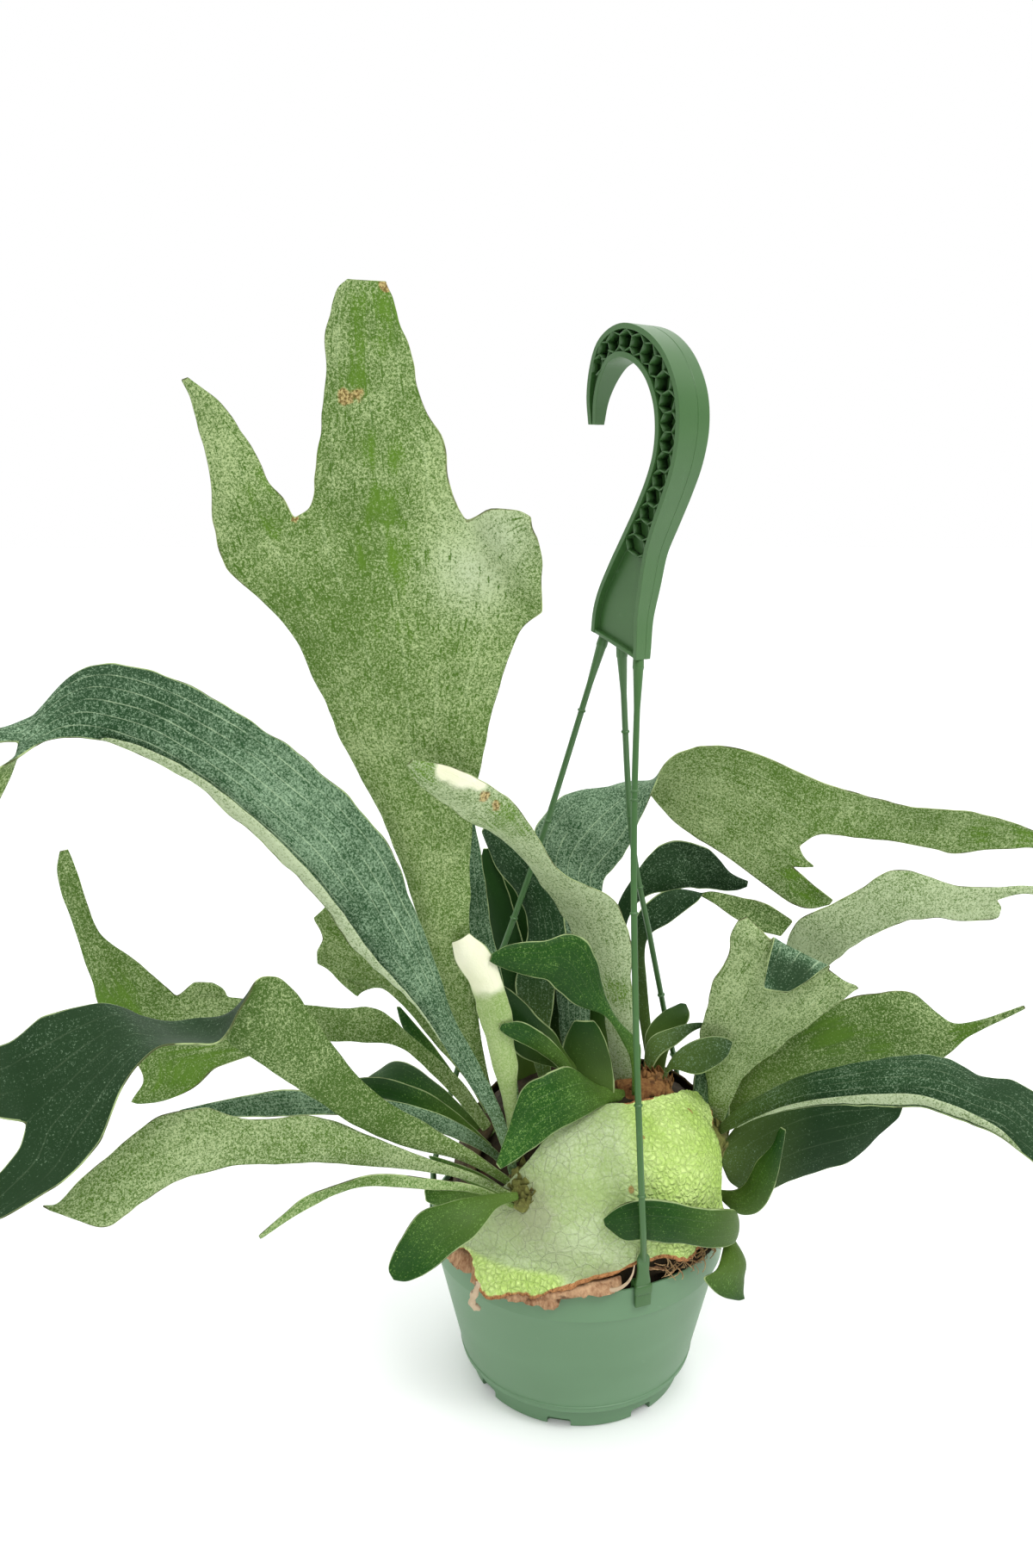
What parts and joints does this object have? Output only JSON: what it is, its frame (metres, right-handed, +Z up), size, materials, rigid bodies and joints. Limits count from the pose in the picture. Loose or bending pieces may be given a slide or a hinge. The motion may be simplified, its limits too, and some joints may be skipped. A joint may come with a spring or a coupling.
{
  "type": "staghorn fern in a hanging pot",
  "caption": "Potted fern with a rounded basal shield and forked strap-like fronds, in a round plastic pot with a clip-on hook hanger; stands on its foot or hangs",
  "frame": {"origin": "centre of the pot's flat underside", "axes": "+Z up, -Y towards the side with the front shield frond and the front strand, +X to the viewer's right there"},
  "size_m": [0.5089, 0.2718, 0.5341],
  "materials": {
    "pot_plastic": "satin moulded polypropylene, soft green",
    "hanger_plastic": "satin moulded polypropylene, darker green",
    "potting_mix": "loose dark bark and peat",
    "root_ball": "fibrous brown peat and old fronds",
    "rhizome": "brown papery scales",
    "shield_frond": "felted grey-green leaf with lime parts",
    "old_shield": "dry brown papery leaf",
    "leaf_felted": "matt leathery leaf with silvery felt",
    "leaf_green": "matt leathery bright green leaf",
    "leaf_bleached": "pale bleached leaf"
  },
  "bodies": {
    "root": {"back_right_dark": "leaf_felted", "back_right_twist": "leaf_felted", "behind_tall_dark": "leaf_green", "bleached_stub": "leaf_bleached", "centre_curled_small": "leaf_green", "centre_dark_back": "leaf_green", "centre_dark_small": "leaf_green", "centre_dark_tall": "leaf_felted", "centre_green": "leaf_green", "crown_leaf_dark": "leaf_green", "crown_leaf_grey": "leaf_felted", "crown_leaf_oval": "leaf_felted", "crown_left": "rhizome", "crown_right": "rhizome", "crown_top": "rhizome", "front_left_leaflet": "leaf_green", "front_left_old": "leaf_green", "front_left_small": "leaf_green", "front_mid_green": "leaf_green", "hook": "hanger_plastic", "left_back_fork": "leaf_felted", "left_back_wavy": "leaf_felted", "left_dark_twist": "leaf_felted", "left_low_pale": "leaf_felted", "left_low_thin": "leaf_green", "left_mid_grey": "leaf_felted", "left_mid_hump": "leaf_green", "left_mid_low": "leaf_green", "left_tip_small": "leaf_green", "long_arch": "leaf_felted", "pot": "pot_plastic", "potting_mix": "potting_mix", "pup_down": "leaf_green", "pup_front": "leaf_green", "pup_upright": "leaf_green", "right_arch": "leaf_felted", "right_dark": "leaf_felted", "right_dark_low": "leaf_felted", "right_fold": "leaf_felted", "right_low_green": "leaf_felted", "right_mid_pale": "leaf_felted", "root_ball": "root_ball", "shield_back": "old_shield", "shield_front": "shield_frond", "shield_left": "old_shield", "strand_back": "hanger_plastic", "strand_front": "hanger_plastic", "strand_left": "hanger_plastic", "tall_antler": "leaf_felted", "torn_pale_curl": "leaf_felted"}
  },
  "joints": []
}
